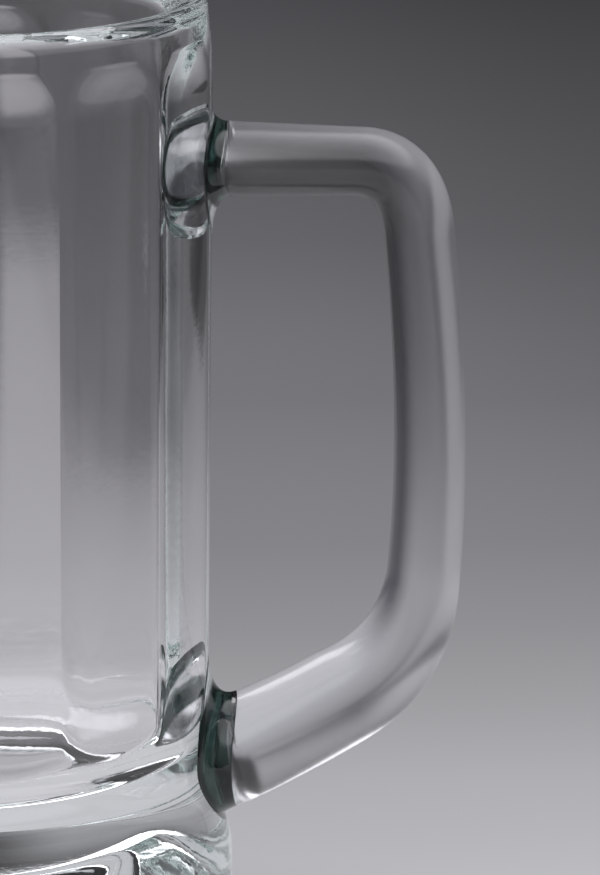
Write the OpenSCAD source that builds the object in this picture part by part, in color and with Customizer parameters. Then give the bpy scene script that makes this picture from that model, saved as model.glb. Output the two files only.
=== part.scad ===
// A pressed glass beer mug, in millimetres, +Z up.
// The body is one heavy round glass with arch-topped panels inside it. The handle is a solid
// glass bar, set on hot, and each of its ends is joined to the wall by a flared weld collar.
// The origin is on the mug's axis, in the plane that the foot rests on. The handle points along +X.

/* [Body] */
// Height from the table to the top of the lip
mug_height = 155; // [135:1:180]
// Outer radius of the wall at its fullest, under the lip
wall_radius = 46.2; // [42:0.1:52]
// How far below the lip the wall is at its fullest
shoulder_drop = 15; // [10:1:25]
// How much the wall draws in from its fullest to the lip
lip_draw = 0.8; // [0:0.1:2]
// How much the wall draws in from its fullest to the waist above the foot
wall_draft = 1.3; // [0:0.1:3]
// Radius of the lip's outer edge
lip_round = 1.95; // [1.2:0.05:2.5]
// Height of the rounding inside the lip, down to the bore
lip_inner_drop = 4.5; // [3:0.5:5.5]

/* [Foot] */
// Height of the waist, where the wall starts to spread to the foot
waist_height = 24; // [18:1:34]
// How far the foot stands out past the waist
foot_spread = 4.1; // [1:0.1:7]
// Height of the foot's upright side
foot_height = 6.5; // [5:0.5:14]
// Radius of the foot's lower edge
foot_edge = 1.6; // [0.5:0.1:3]
// Width of the flat ring that the mug rests on
rest_ring_width = 6; // [3:0.5:10]
// Depth of the hollow under the base
base_hollow_depth = 7; // [1:0.5:8]
// Width of the curved slope between the ring and the hollow's flat middle
base_hollow_slope = 20; // [8:0.5:22]

/* [Cavity] */
// Thickness of the base, from the table to the cavity's floor
floor_height = 23; // [18:0.5:34]
// Radius of the corner between the floor and the wall
floor_corner = 12; // [4:0.5:16]
// Height of the low dome in the middle of the floor
floor_dome = 0.6; // [0.2:0.1:2]

/* [Panels] */
// Number of panels round the cavity
panel_count = 12; // [10:2:16]
// Thickness of the wall at the middle of a panel, near its top
panel_wall = 9.1; // [6:0.1:11]
// How much the panels lean inwards from their arches to the floor
panel_lean = 0.9; // [0:0.1:2]
// Distance from the lip down to the top of the arches
arch_drop = 8; // [6:0.1:12]
// Height of the arches, over which each panel leans out to the bore
arch_height = 8; // [6:0.5:12]
// How far the round bore lies behind the middle of a panel
bore_depth = 1.05; // [0.6:0.05:1.3]

/* [Handle] */
// Distance from the lip down to the middle of the upper weld
upper_weld_drop = 28; // [24:1:40]
// Height of the middle of the lower weld
lower_weld_height = 23.8; // [20:0.1:32]
// Distance from the wall to the middle of the grip
handle_reach = 36.9; // [32:0.1:48]
// Thickness of the grip, seen from the side
grip_thickness = 12; // [9:0.5:16]
// Width of the grip, seen from the end
grip_width = 18; // [14:0.5:24]
// Rise of the lower bar, as a slope
lower_bar_slope = 0.44; // [0.2:0.01:0.6]

/* [Welds] */
// Thickness of the upper weld between the wall and the handle
upper_weld_thickness = 2.7; // [1.5:0.1:4]
// Thickness of the lower weld between the waist and the handle
lower_weld_thickness = 5; // [4.5:0.1:7]
// How far the upper weld runs up the wall
upper_weld_rise = 3; // [1:0.1:6]
// How far the upper weld runs down the wall
upper_weld_run = 7; // [2:0.1:10]
// How far the lower weld runs up the wall
lower_weld_rise = 9; // [2:0.1:12]
// How far the lower weld runs down towards the foot
lower_weld_run = 2.4; // [1:0.1:4]
// How far each weld spreads to its sides
weld_spread = 2.4; // [1:0.1:4]
// How deep the foot of a weld's fillet lies under the wall's surface
weld_root = 0.3; // [0.2:0.1:0.6]

/* [Hidden] */

// How far a cut runs past what it cuts, or a buried end runs in
overrun = 2;
// Steps of the rounded edges, of the longer sweeps, and sides of the glass bar
edge_steps = 6;
sweep_steps = 10;
bar_sides = 24;

// The outside of the body
lip_outer = wall_radius - lip_draw;
lip_middle = lip_outer - lip_round;
lip_base = mug_height - lip_round;
shoulder_height = mug_height - shoulder_drop;
waist_radius = wall_radius - wall_draft;
foot_radius = waist_radius + foot_spread;
ring_outer = foot_radius - foot_edge;
ring_inner = ring_outer - rest_ring_width;
hollow_radius = ring_inner - base_hollow_slope;

// The cavity and its panels
panel_pitch = 360 / panel_count;
panel_radius = wall_radius - panel_wall;
bore_radius = panel_radius + bore_depth;
bore_foot_radius = bore_radius - panel_lean;
bore_top = mug_height - lip_inner_drop;
arch_foot = mug_height - arch_drop - arch_height;
arch_end_share = 1.05;

// The handle's welds and its middle line
upper_weld_height = mug_height - upper_weld_drop;
upper_weld_radius = wall_radius + upper_weld_thickness;
lower_weld_radius = waist_radius + lower_weld_thickness;
grip_radius = wall_radius + handle_reach;
weld_change_height = (upper_weld_height + lower_weld_height) / 2;

// Places along the handle as shares: out from the upper weld to the grip, up from the lower weld
// to the upper one, and then half thickness and half width as shares of the grip's
upper_end_shares = [1.03, 1.2];
lower_end_shares = [1.5, 1.3];
bar_end_shares = [0.632, 0.994, 0.95, 0.98];
upper_corner_shares = [0.906, 0.99, 1.05, 0.98];
grip_top_shares = [0.942, 0.874, 1, 1];
grip_bow_shares = [1.041, 0.545, 1, 1];
grip_foot_shares = [0.968, 0.293, 1.05, 1];
lower_corner_shares = [0.924, 0.152, 1.25, 1.05];
lower_bar_shares = [0.558, 0.088, 1.43, 1.1];
lower_bend_share = 0.31;
lower_bend_end_shares = [1.45, 1.15];

function smooth(t) = t * t * (3 - 2 * t);
function mix(a, b, t) = a + (b - a) * t;
function bend(a, b, c, t) = mix(mix(a, b, t), mix(b, c, t), t);
function arc(centre, radius, from, to) = [
    for (i = [0 : edge_steps])
        let (a = mix(from, to, i / edge_steps)) centre + radius * [cos(a), sin(a)]
];

// Radius of the wall at a height between the waist and the shoulder
function wall_at(height) = mix(waist_radius, wall_radius,
    max(0, height - waist_height) / (shoulder_height - waist_height));

// Outline of the body's outside, from the middle of the hollow out and up to the lip
function outer_outline() = concat(
    [[0, base_hollow_depth]],
    [for (i = [0 : sweep_steps])
        let (t = i / sweep_steps)
        [mix(hollow_radius, ring_inner, t), base_hollow_depth * (1 - smooth(t))]],
    arc([ring_outer, foot_edge], foot_edge, -90, 0),
    [for (i = [0 : sweep_steps])
        let (t = i / sweep_steps)
        [mix(foot_radius, waist_radius, smooth(t)), mix(foot_height, waist_height, t)]],
    [for (i = [0 : edge_steps])
        let (t = i / edge_steps)
        [wall_radius - lip_draw * t * t, mix(shoulder_height, lip_base, t)]],
    arc([lip_middle, lip_base], lip_round, 0, 90),
    [[0, mug_height]]
);

// Outline of the round bore, from the floor up and out over the lip
function bore_outline() = concat(
    [[0, floor_height + floor_dome]],
    arc([bore_foot_radius - floor_corner, floor_height + floor_corner], floor_corner, -90, 0),
    [for (i = [0 : edge_steps])
        let (a = 90 * i / edge_steps)
        [mix(lip_middle, bore_radius, cos(a)), mix(bore_top, mug_height, sin(a))]],
    [[lip_middle, mug_height + overrun], [0, mug_height + overrun]]
);

module outer_form() {
    rotate_extrude($fn = 180) polygon(outer_outline());
}

// One panel: a flat face that leans out above the arch's foot, until the bore cuts it in an arch.
// Past the arch it falls back steeply, clear of the lip
module panel() {
    low_height = floor_height - overrun;
    low = [panel_radius - panel_lean, low_height];
    leaning = [for (i = [0 : sweep_steps])
        let (t = arch_end_share * i / sweep_steps)
        [panel_radius + bore_depth * t * t, arch_foot + arch_height * t]];
    back = lip_outer + overrun;
    rotate([90, 0, 0])
        linear_extrude(2 * lip_outer * tan(panel_pitch / 2), center = true)
            polygon(concat([low], leaning, [[back, mug_height + overrun], [back, low_height]]));
}

module mug_body() {
    color([0.86, 0.93, 0.9, 0.45])
        difference() {
            outer_form();
            difference() {
                rotate_extrude($fn = 180) polygon(bore_outline());
                for (i = [0 : panel_count - 1])
                    rotate((i + 0.5) * panel_pitch) panel();
            }
        }
}

// A place on the handle from its shares: distance out, height, half thickness and half width
function place(shares) = [
    mix(upper_weld_radius, grip_radius, shares[0]),
    mix(lower_weld_height, upper_weld_height, shares[1]),
    grip_thickness / 2 * shares[2],
    grip_width / 2 * shares[3]
];
upper_end = [upper_weld_radius, upper_weld_height,
    grip_thickness / 2 * upper_end_shares[0], grip_width / 2 * upper_end_shares[1]];
lower_end = [lower_weld_radius, lower_weld_height,
    grip_thickness / 2 * lower_end_shares[0], grip_width / 2 * lower_end_shares[1]];
lower_bend_run = mix(upper_weld_radius, grip_radius, lower_bend_share) - lower_weld_radius;
lower_bend = [lower_weld_radius + lower_bend_run, lower_weld_height + lower_bend_run * lower_bar_slope,
    grip_thickness / 2 * lower_bend_end_shares[0], grip_width / 2 * lower_bend_end_shares[1]];
weld_bury = upper_weld_thickness + overrun;

// The slope of the bar where it meets each weld
bar_end = place(bar_end_shares);
upper_slope = (bar_end[1] - upper_end[1]) / (bar_end[0] - upper_end[0]);

// Stations along the handle's middle line, with straight ends buried for the welds to cut
function stretch(a, b, c, steps) = [for (i = [0 : steps - 1]) bend(a, b, c, i / steps)];
function buried(end, slope) = [end[0] - weld_bury, end[1] - weld_bury * slope, end[2], end[3]];
handle_stations = concat(
    [buried(upper_end, upper_slope)],
    stretch(upper_end, mix(upper_end, bar_end, 0.5), bar_end, edge_steps),
    stretch(bar_end, place(upper_corner_shares), place(grip_top_shares), sweep_steps),
    stretch(place(grip_top_shares), place(grip_bow_shares), place(grip_foot_shares), sweep_steps),
    stretch(place(grip_foot_shares), place(lower_corner_shares), place(lower_bar_shares), sweep_steps),
    stretch(place(lower_bar_shares), lower_bend, lower_end, edge_steps),
    [lower_end, buried(lower_end, lower_bar_slope)]
);

// Side faces and two flat ends for rings of points, one ring after another
function ring_faces(rings, sides) = concat(
    [[for (j = [0 : sides - 1]) j]],
    [for (i = [0 : rings - 2]) for (j = [0 : sides - 1])
        let (k = (j + 1) % sides)
        [i * sides + j, (i + 1) * sides + j, (i + 1) * sides + k, i * sides + k]],
    [[for (j = [sides - 1 : -1 : 0]) (rings - 1) * sides + j]]
);
function split_quads(faces) = [
    for (f = faces) each (len(f) == 4 ? [[f[0], f[1], f[2]], [f[0], f[2], f[3]]] : [f])
];

function station_ring(i) =
    let (
        last = len(handle_stations) - 1,
        here = handle_stations[i],
        run = handle_stations[min(i + 1, last)] - handle_stations[max(i - 1, 0)],
        along = [run[0], run[1]] / norm([run[0], run[1]])
    )
    [for (j = [0 : bar_sides - 1])
        let (a = 360 * j / bar_sides, up = here[2] * cos(a))
        [here[0] - along[1] * up, here[3] * sin(a), here[1] + along[0] * up]];

module handle() {
    points = [for (i = [0 : len(handle_stations) - 1]) each station_ring(i)];
    faces = split_quads(ring_faces(len(handle_stations), bar_sides));
    color([0.88, 0.93, 0.92, 0.5])
        difference() {
            polyhedron(points, faces, convexity = 4);
            cylinder(h = weld_change_height, r = lower_weld_radius, $fn = 180);
            translate([0, 0, weld_change_height])
                cylinder(h = mug_height, r = upper_weld_radius, $fn = 180);
        }
}

// A weld collar: the bar's own outline where it meets the handle, spreading in a fillet as it
// reaches the wall. Each ring of points lies on a cylinder about the mug's axis.
module weld_collar(end, slope, rise, run) {
    fillet_foot = wall_at(end[1]) - weld_root;
    fillet_shares = [for (i = [1 : edge_steps]) i / edge_steps];
    ring_radii = concat([end[0] + overrun], [for (t = fillet_shares) mix(end[0], fillet_foot, t)],
        [fillet_foot - weld_bury]);
    spreads = concat([0], [for (t = fillet_shares) 1 - sqrt(1 - t * t)], [1]);
    tall = end[2] * sqrt(1 + slope * slope);
    points = [for (i = [0 : len(ring_radii) - 1]) for (j = [0 : bar_sides - 1])
        let (
            a = -360 * j / bar_sides,
            s = spreads[i],
            side = (end[3] + weld_spread * s) * sin(a),
            up = (tall + (cos(a) > 0 ? rise : run) * s) * cos(a),
            out = sqrt(ring_radii[i] * ring_radii[i] - side * side)
        )
        [out, side, end[1] + (out - end[0]) * slope * (1 - s) + up]];
    difference() {
        intersection() {
            polyhedron(points, split_quads(ring_faces(len(ring_radii), bar_sides)), convexity = 4);
            cylinder(h = mug_height, r = end[0], $fn = 180);
        }
        outer_form();
    }
}

module upper_weld_collar() {
    color([0.3, 0.45, 0.4, 0.7])
        weld_collar(upper_end, upper_slope, upper_weld_rise, upper_weld_run);
}

module lower_weld_collar() {
    color([0.3, 0.45, 0.4, 0.7])
        weld_collar(lower_end, lower_bar_slope, lower_weld_rise, lower_weld_run);
}

mug_body();
handle();
upper_weld_collar();
lower_weld_collar();
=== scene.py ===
import math

import bmesh
import bpy
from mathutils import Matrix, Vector


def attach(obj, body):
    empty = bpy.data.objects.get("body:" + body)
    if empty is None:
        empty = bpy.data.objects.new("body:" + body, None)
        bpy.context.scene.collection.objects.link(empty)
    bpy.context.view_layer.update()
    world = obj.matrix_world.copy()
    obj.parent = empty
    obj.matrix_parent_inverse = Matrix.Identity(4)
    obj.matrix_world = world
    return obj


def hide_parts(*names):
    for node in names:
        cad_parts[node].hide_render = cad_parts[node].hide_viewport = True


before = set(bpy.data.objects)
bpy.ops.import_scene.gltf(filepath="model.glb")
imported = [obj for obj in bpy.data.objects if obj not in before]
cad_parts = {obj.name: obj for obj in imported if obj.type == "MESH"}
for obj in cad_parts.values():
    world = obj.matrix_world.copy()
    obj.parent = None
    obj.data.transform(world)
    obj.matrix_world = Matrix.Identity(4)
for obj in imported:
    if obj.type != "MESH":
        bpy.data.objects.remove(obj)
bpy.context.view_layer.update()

print("frame loaded:", sorted(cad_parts))


# Node trees: a wrapped socket does arithmetic, one method adds any other node

class Wire:
    def __init__(self, maker, socket):
        self.maker = maker
        self.socket = socket

    def mathNode(self, operation, *values):
        return self.maker.add("ShaderNodeMath", {"operation": operation}, list(values))

    def __add__(self, other): return self.mathNode("ADD", self, other)
    def __radd__(self, other): return self.mathNode("ADD", other, self)
    def __sub__(self, other): return self.mathNode("SUBTRACT", self, other)
    def __rsub__(self, other): return self.mathNode("SUBTRACT", other, self)
    def __mul__(self, other): return self.mathNode("MULTIPLY", self, other)
    def __rmul__(self, other): return self.mathNode("MULTIPLY", other, self)
    def __truediv__(self, other): return self.mathNode("DIVIDE", self, other)
    def __rtruediv__(self, other): return self.mathNode("DIVIDE", other, self)
    def __neg__(self): return self.mathNode("MULTIPLY", self, -1)

    def atLeast(self, other): return self.mathNode("MAXIMUM", self, other)
    def atMost(self, other): return self.mathNode("MINIMUM", self, other)
    def root(self): return self.mathNode("SQRT", self)
    def sine(self): return self.mathNode("SINE", self)
    def cosine(self): return self.mathNode("COSINE", self)
    def wholePart(self): return self.mathNode("FLOOR", self)
    def remainder(self, step): return self.mathNode("FLOORED_MODULO", self, step)
    def softLeast(self, other, width): return self.mathNode("SMOOTH_MIN", self, other, width)

    def output(self, which):
        # another output of the same node
        return Wire(self.maker, self.socket.node.outputs[which])

    def rise(self, low, high):
        # 0 below low, 1 above high, smooth between
        return self.maker.add("ShaderNodeMapRange", {"interpolation_type": "SMOOTHSTEP"},
                              {"Value": self, "From Min": low, "From Max": high})


class Nodes:
    def __init__(self, tree):
        self.tree = tree

    def add(self, kind, settings=None, inputs=None, output=0):
        node = self.tree.nodes.new(kind)
        for name, value in (settings or {}).items():
            if name == "stops":
                ramp = node.color_ramp
                while len(ramp.elements) < len(value):
                    ramp.elements.new(0.5)
                for element, (position, colour) in zip(ramp.elements, value):
                    element.position = position
                    element.color = colour
            else:
                setattr(node, name, value)
        pairs = enumerate(inputs) if isinstance(inputs, list) else (inputs or {}).items()
        for name, value in pairs:
            socket = node.inputs[name]
            if isinstance(value, Wire):
                self.tree.links.new(value.socket, socket)
            else:
                socket.default_value = value
        return Wire(self, node.outputs[output]) if node.outputs else node


def blended(low, high, share):
    return low + (high - low) * share


# Materials

glass = {
    "refraction": 1.52,
    "absorbed": (0.80, 0.94, 0.91, 1),
    "absorption": 2.5,
    "ripplesPerMetre": 26,              # slow waves from the pressing
    "rippleDepth": 0.00022,
    "pittingPerMetre": 900,
    "pittingDepth": 0.000004,
    "smudgeFrom": 0.45, "smudgeTo": 0.75,
    "roughness": (0.0, 0.035),          # clean, smudged
    "tint": ((0.995, 0.985, 0.995, 1), (0.975, 0.97, 0.98, 1)),
}
handleLook = dict(
    glass,
    roughness=(0.16, 0.22),
    tint=((0.87, 0.87, 0.89, 1), (0.84, 0.84, 0.86, 1)),
    shade=(0.05, 0.05, 0.06, 1),        # painted shade, standing in for the dark surroundings the bar bends into view: the colour where the handle's shade attribute is 1
)
weldGlass = dict(
    glass,
    absorbed=(0.70, 0.88, 0.84, 1),
    absorption=8.0,
    ripplesPerMetre=140,
    rippleDepth=0.0003,
    skin=(0.004, 0.013, 0.010, 1),      # painted shade: dark from the first of the bounds below to the clear ones, in widths of the weld
    skinFrom=0.97, skinTo=1.02,
    clearFrom=1.18, clearTo=1.32,
)
lowerWeldGlass = dict(weldGlass, skinFrom=0.92, clearFrom=1.32, clearTo=1.5)


def glassMaterial(name, look, core=None):
    # core is the ellipse across a weld; a band of painted shade lies round it, in place of the dark
    # surroundings that the weld's curves bend into view, and the glass is clear elsewhere
    material = bpy.data.materials.new(name)
    material.use_nodes = True
    tree = material.node_tree
    tree.nodes.clear()
    nodes = Nodes(tree)
    place = nodes.add("ShaderNodeTexCoord", output=3)
    ripples = nodes.add("ShaderNodeTexNoise", {"noise_dimensions": "3D"},
                        {"Vector": place, "Scale": look["ripplesPerMetre"], "Detail": 1.5})
    pitting = nodes.add("ShaderNodeTexNoise", {},
                        {"Vector": place, "Scale": look["pittingPerMetre"], "Detail": 2.0})
    height = ripples * (look["rippleDepth"] / look["pittingDepth"]) + pitting
    bump = nodes.add("ShaderNodeBump", {},
                     {"Strength": 1.0, "Distance": look["pittingDepth"], "Height": height})
    smudge = ripples.rise(look["smudgeFrom"], look["smudgeTo"])
    tint = nodes.add("ShaderNodeMix", {"data_type": "RGBA"},
                     {"Factor": smudge, 6: look["tint"][0], 7: look["tint"][1]}, output=2)
    if core:
        y = nodes.add("ShaderNodeSeparateXYZ", {}, [place], output=1)
        z = y.output(2)
        across, along = y / core["wide"], (z - core["z"]) / core["thick"]
        out = (across * across + along * along).root()
        # painted shade round the weld's core
        skin = (out.rise(look["skinFrom"], look["skinTo"])
                * (1 - out.rise(look["clearFrom"], look["clearTo"])))
        tint = nodes.add("ShaderNodeMix", {"data_type": "RGBA"},
                         {"Factor": skin, 6: tint, 7: look["skin"]}, output=2)
    # painted shade: the glass darkens where the piece's shade attribute is 1
    if "shade" in look:
        shaded = nodes.add("ShaderNodeAttribute", {"attribute_name": "shade"}, output=2)
        tint = nodes.add("ShaderNodeMix", {"data_type": "RGBA"},
                         {"Factor": shaded, 6: tint, 7: look["shade"]}, output=2)
    low, high = look["roughness"]
    shader = nodes.add("ShaderNodeBsdfPrincipled", {}, {
        "Base Color": tint,
        "Roughness": blended(low, high, smudge * pitting),
        "IOR": look["refraction"],
        "Transmission Weight": 1.0,
        "Normal": bump,
    })
    inside = nodes.add("ShaderNodeVolumeAbsorption", {},
                       {"Color": look["absorbed"], "Density": look["absorption"]})
    nodes.add("ShaderNodeOutputMaterial", {}, {"Surface": shader, "Volume": inside})
    return material


clearGlass = glassMaterial("clear_glass", glass)
handleGlass = glassMaterial("handle_glass", handleLook)


# Geometry Nodes: one holder object per tree, applied to a plain mesh

class Shaper:
    def __init__(self, name, sizes):
        self.group = bpy.data.node_groups.new(name, "GeometryNodeTree")
        self.nodes = Nodes(self.group)
        face = self.group.interface
        face.new_socket("Geometry", in_out="INPUT", socket_type="NodeSocketGeometry")
        for label in sizes:
            face.new_socket(label, in_out="INPUT", socket_type="NodeSocketFloat")
        face.new_socket("Geometry", in_out="OUTPUT", socket_type="NodeSocketGeometry")
        self.start = self.group.nodes.new("NodeGroupInput")
        self.end = self.group.nodes.new("NodeGroupOutput")
        self.sizes = sizes

    def size(self, label):
        return Wire(self.nodes, self.start.outputs[label])

    def source(self):
        return Wire(self.nodes, self.start.outputs["Geometry"])

    def shape(self, name, outline, result, material):
        # outline is the mesh that the tree reads, result the geometry that it ends with
        realized = self.nodes.add("GeometryNodeRealizeInstances", {}, [result])
        dressed = self.nodes.add("GeometryNodeSetMaterial", {},
                                 {"Geometry": realized, "Material": material})
        self.group.links.new(dressed.socket, self.end.inputs["Geometry"])
        holder = bpy.data.objects.new(name + "_outline", outline)
        bpy.context.scene.collection.objects.link(holder)
        modifier = holder.modifiers.new("Shape", "NODES")
        modifier.node_group = self.group
        for item in self.group.interface.items_tree:
            if item.in_out == "INPUT" and item.name in self.sizes:
                modifier[item.identifier] = float(self.sizes[item.name])
        seen = holder.evaluated_get(bpy.context.evaluated_depsgraph_get())
        mesh = bpy.data.meshes.new_from_object(seen)
        mesh.name = name
        holder.modifiers.remove(modifier)
        bpy.data.objects.remove(holder)
        piece = bpy.data.objects.new(name, mesh)
        bpy.context.scene.collection.objects.link(piece)
        return piece


def ringTable(name, rings):
    # one vertex a ring, with the ring's own numbers as attributes
    mesh = bpy.data.meshes.new(name)
    mesh.from_pydata([(ring["x"], 0, ring["z"]) for ring in rings],
                     [(i, i + 1) for i in range(len(rings) - 1)], [])
    for label in rings[0]:
        if label not in ("x", "z"):
            column = mesh.attributes.new(label, "FLOAT", "POINT")
            column.data.foreach_set("value", [float(ring[label]) for ring in rings])
    return mesh


def sampled(nodes, geometry, kind, value, row):
    return nodes.add("GeometryNodeSampleIndex", {"data_type": kind, "domain": "POINT"},
                     {"Geometry": geometry, "Value": value, "Index": row})


def ringPlace(shaper, row):
    position = shaper.nodes.add("GeometryNodeInputPosition")
    return sampled(shaper.nodes, shaper.source(), "FLOAT_VECTOR", position, row)


def ringNumber(shaper, row, label):
    named = shaper.nodes.add("GeometryNodeInputNamedAttribute", {"data_type": "FLOAT"}, {"Name": label})
    return sampled(shaper.nodes, shaper.source(), "FLOAT", named, row)


def gridOf(nodes, rings, columns):
    # a grid with a row for each ring; the last column closes on the first
    grid = nodes.add("GeometryNodeMeshGrid", {}, {"Vertices X": columns + 1, "Vertices Y": rings,
                                                  "Size X": 1.0, "Size Y": 1.0})
    index = nodes.add("GeometryNodeInputIndex")
    return grid, index.remainder(rings), (index / rings).wholePart()


mergeWithin = 0.000002      # closes the seam and the poles of a grid


def finishedGrid(nodes, grid, place):
    moved = nodes.add("GeometryNodeSetPosition", {}, {"Geometry": grid, "Position": place})
    merged = nodes.add("GeometryNodeMergeByDistance", {}, {"Geometry": moved, "Distance": mergeWithin})
    return nodes.add("GeometryNodeSetShadeSmooth", {}, {"Geometry": merged, "Shade Smooth": True})


def arcPoints(centre, radius, start, end, steps):
    angles = [math.radians(start + (end - start) * i / steps) for i in range(steps + 1)]
    return [(centre[0] + radius * math.cos(a), centre[1] + radius * math.sin(a)) for a in angles]


def smooth(t):
    return t * t * (3 - 2 * t)


def mix(a, b, t):
    return a + (b - a) * t


def cleaned(points, apart=0.00001):
    # drops points that repeat the one before
    kept = [points[0]]
    for point in points[1:]:
        if math.dist(point, kept[-1]) > apart:
            kept.append(point)
    return kept


# The body: a heavy round glass with arch-topped panels inside

body = {
    "height": 0.155, "wallRadius": 0.0462,
    "shoulder": 0.140, "lipDraw": 0.0008,       # the wall draws in from the shoulder up
    "wallDraft": 0.0013, "waist": 0.024,        # and a little towards the waist
    "lipRound": 0.00195, "lipInnerDrop": 0.0045,
    "footSpread": 0.0041, "footHeight": 0.0065, "footEdge": 0.0016,
    "ringWidth": 0.006, "hollowDepth": 0.007, "hollowSlope": 0.020,
    "floor": 0.023, "floorCorner": 0.012, "floorDome": 0.0006,
    "panels": 12, "panelRadius": 0.0371, "panelLean": 0.0009,
    "archFoot": 0.139, "archHeight": 0.008,     # each panel leans out to the bore over this height
    "archEnd": 1.05,                            # and falls back steeply past this share, clear of the lip
    "boreDepth": 0.00105, "creaseSoftness": 0.0009,
    "columns": 384,
}
# how many rings each stretch of the outline has, or where they lie as shares of it
bodyRings = {
    "hollow": (0, 0.04, 0.15, 0.3, 0.45, 0.6, 0.75, 0.88, 0.96),
    "hollowSide": (0, 0.06, 0.12, 0.18, 0.24, 0.3, 0.37, 0.44, 0.5, 0.56, 0.63, 0.7, 0.76, 0.82, 0.88,
                   0.94, 1),
    "ring": (0.06, 0.5, 0.94),
    "footEdge": 8, "foot": 5, "flare": 22, "wall": 30, "shoulder": 10, "lip": 12,
    "lipInside": 18, "bore": 46, "panel": 36, "floorCorner": 24,
    "floor": (0.04, 0.12, 0.22, 0.34, 0.46, 0.58, 0.7, 0.82, 0.92, 0.97, 1),
}


def wallRadiusAt(z):
    rise = max(0.0, z - body["waist"]) / (body["shoulder"] - body["waist"])
    if z <= body["footHeight"]:
        return body["wallRadius"] - body["wallDraft"] + body["footSpread"]
    if z < body["waist"]:
        t = (z - body["footHeight"]) / (body["waist"] - body["footHeight"])
        return body["wallRadius"] - body["wallDraft"] + body["footSpread"] * (1 - smooth(t))
    return body["wallRadius"] - body["wallDraft"] * (1 - min(1.0, rise))


def evenly(start, end, count):
    # the values after start, evenly up to end
    return [mix(start, end, i / count) for i in range(1, count + 1)]


def bodyOutline():
    b = body
    n = bodyRings
    footRadius = b["wallRadius"] - b["wallDraft"] + b["footSpread"]
    ringOuter = footRadius - b["footEdge"]
    ringInner = ringOuter - b["ringWidth"]
    hollow = ringInner - b["hollowSlope"]
    lip = b["lipRound"]
    lipMiddle = b["wallRadius"] - b["lipDraw"] - lip
    lipBase = b["height"] - lip
    bore = b["panelRadius"] + b["boreDepth"]
    boreTop = b["height"] - b["lipInnerDrop"]
    boreFoot = bore - b["panelLean"]
    flat = boreFoot - b["floorCorner"]
    cornerTop = b["floor"] + b["floorCorner"]
    # from the middle of the hollow out and up to the lip
    under = [(hollow * t, b["hollowDepth"]) for t in n["hollow"]]
    under += [(mix(hollow, ringInner, t), b["hollowDepth"] * (1 - smooth(t))) for t in n["hollowSide"]]
    under += [(mix(ringInner, ringOuter, t), 0) for t in n["ring"]]
    outside = arcPoints((ringOuter, b["footEdge"]), b["footEdge"], -90, 0, n["footEdge"])
    outside += [(wallRadiusAt(z), z) for z in
                evenly(b["footEdge"], b["footHeight"], n["foot"])
                + evenly(b["footHeight"], b["waist"], n["flare"])
                + evenly(b["waist"], b["shoulder"], n["wall"])]
    outside += [(b["wallRadius"] - b["lipDraw"] * t ** 2, mix(b["shoulder"], lipBase, t))
                for t in evenly(0, 1, n["shoulder"])]
    outside += arcPoints((lipMiddle, lipBase), lip, 0, 90, n["lip"])
    # and down inside to the middle of the floor
    rounding = [math.radians(90 * (1 - i / n["lipInside"])) for i in range(n["lipInside"] + 1)]
    inside = [(mix(lipMiddle, bore, math.cos(a)), mix(boreTop, b["height"], math.sin(a)))
              for a in rounding]
    inside += [(bore, z) for z in evenly(boreTop, b["archFoot"], n["bore"])]
    inside += [(mix(bore, boreFoot, t), mix(b["archFoot"], cornerTop, t)) for t in evenly(0, 1, n["panel"])]
    inside += arcPoints((flat, cornerTop), b["floorCorner"], 0, -90, n["floorCorner"])
    inside += [(flat * (1 - t), b["floor"] + b["floorDome"] * smooth(t)) for t in n["floor"]]
    outer = cleaned(under + outside)
    rings = [{"x": x, "z": z, "inner": 0} for x, z in outer]
    return rings + [{"x": x, "z": z, "inner": 1} for x, z in cleaned([outer[-1]] + inside)[1:]]


def makeBody():
    b = body
    rings = bodyOutline()
    sizes = {"Columns": b["columns"], "Rings": len(rings), "Panels": b["panels"],
             "Panel Radius": b["panelRadius"], "Panel Lean": b["panelLean"],
             "Arch Foot": b["archFoot"], "Arch Height": b["archHeight"], "Bore Depth": b["boreDepth"],
             "Floor": b["floor"], "Crease Softness": b["creaseSoftness"]}
    shaper = Shaper("MugBody", sizes)
    nodes = shaper.nodes
    size = shaper.size
    grid, row, column = gridOf(nodes, size("Rings"), size("Columns"))
    radius = nodes.add("ShaderNodeSeparateXYZ", {}, [ringPlace(shaper, row)])
    height = radius.output(2)
    inner = ringNumber(shaper, row, "inner")
    turn = column / size("Columns") * math.tau
    pitch = math.tau / size("Panels")
    across = (turn / pitch).remainder(1.0) - 0.5
    aside = across * pitch
    drop = ((size("Arch Foot") - height) / (size("Arch Foot") - size("Floor"))).atLeast(0).atMost(1)
    climb = ((height - size("Arch Foot")) / size("Arch Height")).atLeast(0)
    past = (climb - b["archEnd"]).atLeast(0) * size("Arch Height")
    face = size("Panel Radius") - size("Panel Lean") * drop + size("Bore Depth") * climb * climb + past
    panelled = radius.softLeast(face / aside.cosine(), size("Crease Softness"))
    wall = blended(radius, panelled, inner)
    place = nodes.add("ShaderNodeCombineXYZ", {}, [wall * turn.cosine(), wall * turn.sine(), height])
    result = finishedGrid(nodes, grid, place)
    return shaper.shape("body_glass", ringTable("body_rings", rings), result, clearGlass)


# The handle: a solid bar along a bent middle line, its ends wrapped on the welds' faces

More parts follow.
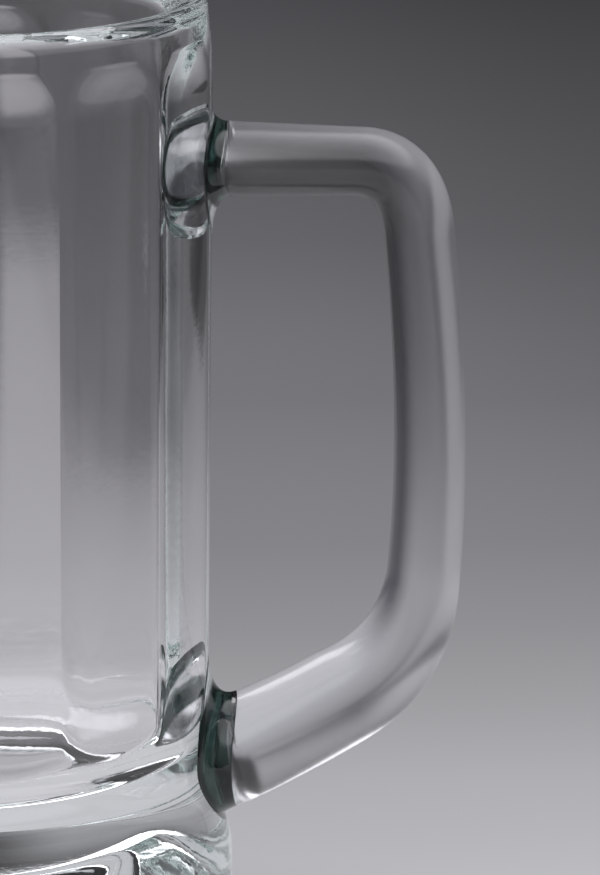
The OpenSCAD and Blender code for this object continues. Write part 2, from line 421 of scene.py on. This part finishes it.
# each weld's face towards the handle, and how far its fillet runs up (rise) and down (run) the wall
upperWeld = {"x": 0.0489, "z": 0.1270, "thick": 0.00618, "wide": 0.0108, "slope": -0.0287,
             "rise": 0.003, "run": 0.007}
lowerWeld = {"x": 0.0499, "z": 0.0238, "thick": 0.0090, "wide": 0.0117, "slope": 0.44,
             "rise": 0.009, "run": 0.0024}
handle = {
    # distance out, height, half thickness, half width at the controls of each bend in turn
    "upperBar": [(0.0489, 0.1270, 0.00618, 0.0108), (0.0597, 0.1267, 0.00594, 0.0098),
                 (0.07051, 0.12638, 0.0057, 0.00882)],
    "upperCorner": [(0.07051, 0.12638, 0.0057, 0.00882), (0.07989, 0.12597, 0.0063, 0.00882),
                    (0.08112, 0.11400, 0.0060, 0.0090)],
    "grip": [(0.08112, 0.11400, 0.0060, 0.0090), (0.08450, 0.08004, 0.0060, 0.0090),
             (0.08201, 0.05404, 0.0063, 0.0090)],
    "lowerCorner": [(0.08201, 0.05404, 0.0063, 0.0090), (0.08050, 0.03949, 0.0075, 0.00945),
                    (0.06798, 0.03288, 0.00858, 0.0099)],
    "lowerBar": [(0.06798, 0.03288, 0.00858, 0.0099), (0.05950, 0.02802, 0.0087, 0.01035),
                 (0.0499, 0.0238, 0.0090, 0.0117)],
    "steps": 26,        # rings to a bend
    "sides": 96,
    "endRings": 10,
    # painted shade: the glass is painted darker along the inside of the loop, and along the underside of
    # the lower bar, to which the painted shade turns between these rings
    "turnsFrom": 80, "turnsTo": 100,
    "insideFrom": 0.38, "insideTo": 0.82,
    "underFrom": 0.55, "underTo": 0.97, "underShade": 0.85,
}


def bend(controls, t):
    a, b, c = controls
    return [mix(mix(p, q, t), mix(q, r, t), t) for p, q, r in zip(a, b, c)]


def handleRings():
    h = handle
    stations = []
    for name in ("upperBar", "upperCorner", "grip", "lowerCorner", "lowerBar"):
        stations += [bend(h[name], i / h["steps"]) for i in range(h["steps"])]
    stations.append(list(h["lowerBar"][2]))
    rings = []
    last = len(stations) - 1
    for i, (x, z, thick, wide) in enumerate(stations):
        before, after = stations[max(i - 1, 0)], stations[min(i + 1, last)]
        angle = math.atan2(after[1] - before[1], after[0] - before[0])
        low = smooth(min(1.0, max(0.0, (i - h["turnsFrom"]) / (h["turnsTo"] - h["turnsFrom"]))))
        # inside and underside weigh each ring's painted shade
        rings.append({"x": x, "z": z, "thick": thick, "wide": wide, "angle": angle, "wrap": 0,
                      "slope": 0, "inside": 1 - low, "underside": low * h["underShade"]})
    return rings


def endRings(ring, weld, angle):
    # rings across the end of the bar, from its middle out
    count = handle["endRings"]
    tall = ring["thick"] * math.sqrt(1 + weld["slope"] ** 2)
    return [dict(ring, thick=tall * i / count, wide=ring["wide"] * i / count, angle=angle,
                 wrap=weld["x"], slope=weld["slope"]) for i in range(count + 1)]


def makeHandle():
    h = handle
    rings = handleRings()
    upper = endRings(rings[0], upperWeld, 0)
    lower = endRings(rings[-1], lowerWeld, math.pi)
    table = upper + rings[1:-1] + lower[::-1]
    sizes = {"Columns": h["sides"], "Rings": len(table)}
    shaper = Shaper("Handle", sizes)
    nodes = shaper.nodes
    size = shaper.size
    grid, row, column = gridOf(nodes, size("Rings"), size("Columns"))

    def number(label):
        return ringNumber(shaper, row, label)

    centreX = nodes.add("ShaderNodeSeparateXYZ", {}, [ringPlace(shaper, row)])
    centreZ = centreX.output(2)
    turn = column / size("Columns") * math.tau
    up = number("thick") * turn.cosine()
    side = number("wide") * turn.sine()
    freeX = centreX - number("angle").sine() * up
    freeZ = centreZ + number("angle").cosine() * up
    # on a weld's face the ring lies on a cylinder about the mug's axis
    wrap = number("wrap")
    wrapX = (wrap * wrap - side * side).atLeast(0).root()
    wrapZ = freeZ + (wrapX - centreX) * number("slope")
    wrapped = wrap.rise(0.0, 0.001)
    place = nodes.add("ShaderNodeCombineXYZ", {}, [blended(freeX, wrapX, wrapped), side,
                                                   blended(freeZ, wrapZ, wrapped)])
    # painted shade: darker glass along the inside of the loop and under the lower bar, stored on the mesh
    shade = ((-turn.cosine()).rise(h["insideFrom"], h["insideTo"]) * number("inside")
             + turn.cosine().rise(h["underFrom"], h["underTo"]) * number("underside"))
    marked = nodes.add("GeometryNodeStoreNamedAttribute", {"data_type": "FLOAT", "domain": "POINT"},
                       {"Geometry": grid, "Name": "shade", "Value": shade})
    result = finishedGrid(nodes, marked, place)
    return shaper.shape("handle_glass", ringTable("handle_rings", table), result, handleGlass)


# The weld collars: rings from the handle's end, spreading in a fillet onto the wall

collar = {
    "sides": 96,
    "filletRings": 16,
    "capRings": 8,
    "spread": 0.0024,
    "bury": 0.00006,     # how far a collar's faces reach into the glass on either side
}

upperGlass = glassMaterial("upper_weld_glass", weldGlass, upperWeld)
lowerGlass = glassMaterial("lower_weld_glass", lowerWeldGlass, lowerWeld)


def collarRing(weld, radius, spread, share=1.0):
    # share shrinks the ring towards its centre; radius None lies on the body's wall
    tall = weld["thick"] * math.sqrt(1 + weld["slope"] ** 2)
    ring = []
    for j in range(collar["sides"]):
        a = math.tau * j / collar["sides"]
        side = (weld["wide"] + collar["spread"] * spread) * math.sin(a) * share
        reach = weld["rise"] if math.cos(a) > 0 else weld["run"]
        up = (tall + reach * spread) * math.cos(a) * share
        if radius is None:
            z = weld["z"] + up
            for _ in range(3):      # enough rounds to settle on the wall
                out = math.sqrt((wallRadiusAt(z) - collar["bury"]) ** 2 - side ** 2)
                z = weld["z"] + (out - weld["x"]) * weld["slope"] * (1 - spread) + up
        else:
            out = math.sqrt(radius ** 2 - side ** 2)
            z = weld["z"] + (out - weld["x"]) * weld["slope"] * (1 - spread) + up
        ring.append(Vector((out, side, z)))
    return ring


def makeCollar(name, weld, material):
    c = collar
    outer = weld["x"] + c["bury"]
    wall = wallRadiusAt(weld["z"])
    rings = [collarRing(weld, outer, 0, i / c["capRings"]) for i in range(1, c["capRings"])]
    for i in range(c["filletRings"]):
        t = i / c["filletRings"]
        radius = mix(outer, wall - c["bury"], t)
        rings.append(collarRing(weld, radius, 1 - math.sqrt(1 - t * t)))
    rings += [collarRing(weld, None, 1, 1 - i / c["capRings"]) for i in range(c["capRings"])]
    # no ring of the fillet may sink under the wall
    for ring in rings[c["capRings"] - 1:]:
        for point in ring:
            least = wallRadiusAt(point.z) - c["bury"]
            if math.hypot(point.x, point.y) < least:
                point.x = math.sqrt(least ** 2 - point.y ** 2)
    mesh = bpy.data.meshes.new(name)
    shell = bmesh.new()
    made = [[shell.verts.new(point) for point in ring] for ring in rings]
    for near, far in zip(made, made[1:]):
        for j in range(c["sides"]):
            k = (j + 1) % c["sides"]
            shell.faces.new((near[j], near[k], far[k], far[j]))
    for ring in (made[0], made[-1]):
        middle = shell.verts.new(sum((v.co for v in ring), Vector()) / len(ring))
        for j in range(c["sides"]):
            shell.faces.new((middle, ring[j], ring[(j + 1) % c["sides"]]))
    bmesh.ops.recalc_face_normals(shell, faces=shell.faces)
    for face in shell.faces:
        face.smooth = True
    shell.to_mesh(mesh)
    shell.free()
    mesh.materials.append(material)
    piece = bpy.data.objects.new(name, mesh)
    bpy.context.scene.collection.objects.link(piece)
    return piece


def outwards(piece):
    # turns every face of a closed piece outwards
    shell = bmesh.new()
    shell.from_mesh(piece.data)
    bmesh.ops.recalc_face_normals(shell, faces=shell.faces)
    if shell.calc_volume(signed=True) < 0:
        bmesh.ops.reverse_faces(shell, faces=shell.faces)
    shell.to_mesh(piece.data)
    openEdges = sum(1 for edge in shell.edges if len(edge.link_faces) != 2)
    print(piece.name, "faces", len(shell.faces), "open edges", openEdges,
          "litres", round(shell.calc_volume(signed=True) * 1000, 4))
    shell.free()


pieces = {
    "mug_body": (makeBody(), "clear_glass"),
    "handle": (makeHandle(), "clear_glass"),
    "upper_weld_collar": (makeCollar("upper_weld", upperWeld, upperGlass), "weld_glass"),
    "lower_weld_collar": (makeCollar("lower_weld", lowerWeld, lowerGlass), "weld_glass"),
}
for node, (piece, slotName) in pieces.items():
    outwards(piece)
    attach(piece, "root")
    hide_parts(node)
print("pieces made")


# The floor, the light and the camera

def rayKinds(nodes):
    # 1 for rays straight from the eye, and 1 for rays that glass has bent or thrown back
    straight = nodes.add("ShaderNodeLightPath")
    return straight, straight.output("Is Glossy Ray").atLeast(straight.output("Is Transmission Ray"))


floor = {
    "size": 8.0,
    "shownShare": 0.92,     # how much of its own colour the paper shows, whatever falls on it
    "paintedFalloff": [               # painted light: the paper's brightness falling off with distance over the first metre, as lamplight on it would
        (0.0, (0.475, 0.475, 0.495, 1)), (0.06, (0.415, 0.415, 0.435, 1)), (0.11, (0.335, 0.335, 0.35, 1)),
        (0.17, (0.26, 0.258, 0.272, 1)), (0.24, (0.20, 0.198, 0.21, 1)), (0.38, (0.134, 0.132, 0.141, 1)),
        (0.58, (0.092, 0.091, 0.098, 1)), (0.85, (0.067, 0.066, 0.071, 1)), (1.0, (0.053, 0.052, 0.057, 1)),
    ],
    "grainPerMetre": 6.0, "grainShare": 0.04,
    # painted light: a little brighter left of liftFrom, past liftNear
    "lift": 0.42, "liftFrom": 0.06, "liftTo": 0.22, "liftNear": 0.1, "liftFar": 0.5,
    # the rest is painted light and shade that the paper shows only as it is seen through the glass or in
    # its shine, not as the eye sees it. a pale band of painted light runs away from the mug
    "pale": 0.168, "paleNearShare": 0.45, "paleTint": (1, 0.99, 1.02, 1),
    "paleLeft": -0.08, "paleRight": 0.0205, "paleEdge": 0.014,
    "paleNear": 0.02, "paleFar": 0.10, "paleFadeFrom": 0.53, "paleFadeTo": 0.66,
    # a dimmer one lies right of it
    "besideDim": 0.25, "besideTo": 0.05, "besideEdge": 0.02,
    # brighter close by, dimmer far off except on the right
    "nearGain": 0.30, "farLoss": 0.25, "gainFrom": 0.2, "gainTo": 0.42,
    "lossRight": 0.12, "lossEnd": 0.2,
    # dark well to the right and dim to the left
    "dimRight": 0.80, "dimFrom": 0.32, "dimTo": 0.37, "dimNear": 0.46, "dimFar": 0.54,
    "dimLeft": 0.55, "dimLeftFrom": 0.15, "dimLeftTo": 0.35,
    # and paler far off on the left, to meet the studio's glow
    "horizon": 0.20, "horizonLeft": 0.08, "horizonSlant": 0.03, "horizonNear": 0.6, "horizonFar": 0.8,
}


def makeFloor():
    f = floor
    half = f["size"] / 2
    mesh = bpy.data.meshes.new("floor")
    mesh.from_pydata([(-half, -half, 0), (half, -half, 0), (half, half, 0), (-half, half, 0)],
                     [], [(0, 1, 2, 3)])
    plane = bpy.data.objects.new("floor", mesh)
    bpy.context.scene.collection.objects.link(plane)
    material = bpy.data.materials.new("floor_paper")
    material.use_nodes = True
    material.node_tree.nodes.clear()
    nodes = Nodes(material.node_tree)
    place = nodes.add("ShaderNodeTexCoord", output=3)
    x = nodes.add("ShaderNodeSeparateXYZ", {}, [place])
    y = x.output(1)
    # painted light: the paper darkens with distance and is brighter on the left
    paintedFalloff = nodes.add("ShaderNodeValToRGB", {"stops": f["paintedFalloff"]}, {"Fac": y.atLeast(0).atMost(1)})
    lift = 1 + (1 - x.rise(f["liftFrom"], f["liftTo"])) * y.rise(f["liftNear"], f["liftFar"]) * f["lift"]
    lifted = nodes.add("ShaderNodeCombineColor", {}, [lift, lift, lift])
    paintedFalloff = nodes.add("ShaderNodeMix", {"data_type": "RGBA", "blend_type": "MULTIPLY"},
                     {"Factor": 1.0, 6: paintedFalloff, 7: lifted}, output=2)
    grain = nodes.add("ShaderNodeTexNoise", {},
                      {"Vector": place, "Scale": f["grainPerMetre"], "Detail": 3.0})
    paper = nodes.add("ShaderNodeMix", {"data_type": "RGBA", "blend_type": "MULTIPLY"},
                      {"Factor": f["grainShare"], 6: paintedFalloff, 7: grain}, output=2)
    # painted light and shade on the paper, seen only by rays through or off the glass
    far = y.rise(f["gainFrom"], f["gainTo"])
    edge = f["paleEdge"] / 2
    besideEdge = f["besideEdge"] / 2
    past = x.rise(f["paleRight"] - edge, f["paleRight"] + edge)
    beside = past * (1 - x.rise(f["besideTo"] - besideEdge, f["besideTo"] + besideEdge))
    dimRight = x.rise(f["dimFrom"], f["dimTo"]) * (1 - y.rise(f["dimNear"], f["dimFar"]))
    dimLeft = (-x).rise(f["dimLeftFrom"], f["dimLeftTo"])
    gain = ((1 + (1 - far) * f["nearGain"])
            * (1 - far * (1 - x.rise(f["lossRight"], f["lossEnd"])) * f["farLoss"])
            * (1 - beside * far * f["besideDim"])
            * (1 - dimRight * f["dimRight"]) * (1 - dimLeft * f["dimLeft"]))
    strip = (x.rise(f["paleLeft"] - edge, f["paleLeft"] + edge) * (1 - past)
             * y.rise(f["paleNear"], f["paleFar"]) * (1 - y.rise(f["paleFadeFrom"], f["paleFadeTo"]))
             * blended(f["paleNearShare"], 1.0, far))
    gained = nodes.add("ShaderNodeVectorMath", {"operation": "SCALE"}, {0: paper, "Scale": gain})
    horizon = ((-x - y * f["horizonSlant"]).rise(0, f["horizonLeft"])
               * y.rise(f["horizonNear"], f["horizonFar"]) * f["horizon"])
    paperWithPaintedLight = nodes.add("ShaderNodeMix", {"data_type": "RGBA", "blend_type": "ADD"},
                          {"Factor": strip * f["pale"] + horizon, 6: gained, 7: f["paleTint"]}, output=2)
    # eyes see the paper with its painted fall-off, glass the one with more painted light and shade, and
    # lamps shade a share of it
    lit = nodes.add("ShaderNodeBsdfDiffuse", {}, {"Color": paper})
    direct = nodes.add("ShaderNodeEmission", {}, {"Color": paper, "Strength": 1.0})
    bent = nodes.add("ShaderNodeEmission", {}, {"Color": paperWithPaintedLight, "Strength": 1.0})
    straight, throughGlass = rayKinds(nodes)
    shown = nodes.add("ShaderNodeMixShader", {}, [straight, bent, direct])
    seen = straight.atLeast(throughGlass)
    mixed = nodes.add("ShaderNodeMixShader", {}, [seen * f["shownShare"], lit, shown])
    nodes.add("ShaderNodeOutputMaterial", {}, {"Surface": mixed})
    mesh.materials.append(material)


makeFloor()

# the lamps only light the paper: glass sees the boxes of light in the surroundings instead
lamps = {
    # place, what it points at, width, height, watts
    "rightBox": ((0.75, -0.25, 0.42), (0.02, 0, 0.08), 0.35, 0.7, 9),
    "leftBox": ((-0.8, -0.55, 0.55), (0, 0, 0.08), 0.6, 0.8, 10),
    "topBox": ((0.1, 0.25, 1.1), (0, 0, 0.1), 0.7, 0.5, 9),
}


def makeLamp(name, place, target, width, height, watts):
    data = bpy.data.lights.new(name, "AREA")
    data.shape = "RECTANGLE"
    data.size = width
    data.size_y = height
    data.energy = watts
    lamp = bpy.data.objects.new(name, data)
    lamp.location = place
    lamp.visible_glossy = False
    lamp.visible_transmission = False
    lamp.rotation_euler = (Vector(target) - Vector(place)).to_track_quat("-Z", "Y").to_euler()
    bpy.context.scene.collection.objects.link(lamp)


for lampName, values in lamps.items():
    makeLamp(lampName, *values)

surroundings = {
    # directions are shares of a unit vector: x to the right, y away, up
    "tint": (0.97, 0.96, 1.0, 1),
    "level": 0.55,                      # even light that falls on the floor
    "dark": 0.03,                       # the studio where nothing glows
    "leftGlow": 0.42, "leftFrom": 0.03, "leftTo": 0.35, "leftHeight": 0.75,
    "leftNear": -0.1, "leftFar": 0.2,
    "topBox": 3.5, "topLow": 0.46, "topHigh": 0.74, "topLeft": -0.55, "topRight": -0.08,
    "topNear": 0.1, "topFar": 0.2,
    "overhead": 1.6, "overheadFrom": 0.56, "overheadTo": 0.74,
    "frontGlow": 0.10, "frontFrom": 0.2, "frontTo": 0.8,
}


def makeWorld():
    w = surroundings
    world = bpy.data.worlds.new("studio")
    bpy.context.scene.world = world
    world.use_nodes = True
    world.node_tree.nodes.clear()
    nodes = Nodes(world.node_tree)
    direction = nodes.add("ShaderNodeTexCoord", output=0)
    x = nodes.add("ShaderNodeSeparateXYZ", {}, [direction])
    y = x.output(1)
    up = x.output(2)
    level = (x * x + y * y).root().atLeast(0.001)
    left = (-x / level).rise(w["leftFrom"], w["leftTo"]) * y.rise(w["leftNear"], w["leftFar"])
    leftGlow = left * (1 - up.rise(0, w["leftHeight"])) * w["leftGlow"]
    # the top box has soft edges
    topBox = (up.rise(w["topLow"], w["topLow"] + 0.06) * (1 - up.rise(w["topHigh"] - 0.05, w["topHigh"]))
              * y.rise(w["topNear"], w["topFar"]) * x.rise(w["topLeft"] - 0.1, w["topLeft"])
              * (1 - x.rise(w["topRight"] - 0.05, w["topRight"] + 0.05)) * w["topBox"])
    overhead = up.rise(w["overheadFrom"], w["overheadTo"]) * w["overhead"]
    front = (-y).rise(w["frontFrom"], w["frontTo"]) * w["frontGlow"]
    behind = nodes.add("ShaderNodeBackground", {}, {"Color": w["tint"], "Strength": leftGlow + w["dark"]})
    inGlass = nodes.add("ShaderNodeBackground", {}, {
        "Color": w["tint"], "Strength": leftGlow + topBox + overhead + front + w["dark"]})
    lit = nodes.add("ShaderNodeBackground", {}, {"Color": (1, 1, 1, 1), "Strength": w["level"]})
    straight, bent = rayKinds(nodes)
    shown = nodes.add("ShaderNodeMixShader", {}, [bent, behind, inGlass])
    mixed = nodes.add("ShaderNodeMixShader", {}, [straight.atLeast(bent), lit, shown])
    nodes.add("ShaderNodeOutputWorld", {}, {"Surface": mixed})


makeWorld()

# degrees, and a long lens so that the mug fills the picture from a metre away
view = {"place": (0.012, -0.971, 0.3025), "tiltDown": 12.97, "turnRight": 2.88, "lens": 240.7}


def makeCamera():
    data = bpy.data.cameras.new("view")
    data.lens = view["lens"]
    data.sensor_width = 36
    data.clip_start = 0.01
    data.clip_end = 50
    camera = bpy.data.objects.new("view", data)
    camera.location = view["place"]
    camera.rotation_euler = (math.radians(90 - view["tiltDown"]), 0, math.radians(-view["turnRight"]))
    bpy.context.scene.collection.objects.link(camera)
    bpy.context.scene.camera = camera


makeCamera()

# a ray that is thrown back inside thick glass counts as glossy, and few bounces leave it black
rays = {"all": 64, "inGlass": 40, "brightest": 6}

scene = bpy.context.scene
scene.view_settings.view_transform = "Standard"
scene.cycles.use_denoising = True
scene.cycles.max_bounces = rays["all"]
scene.cycles.transmission_bounces = rays["inGlass"]
scene.cycles.glossy_bounces = rays["inGlass"]
scene.cycles.sample_clamp_indirect = rays["brightest"]
print("stage made")
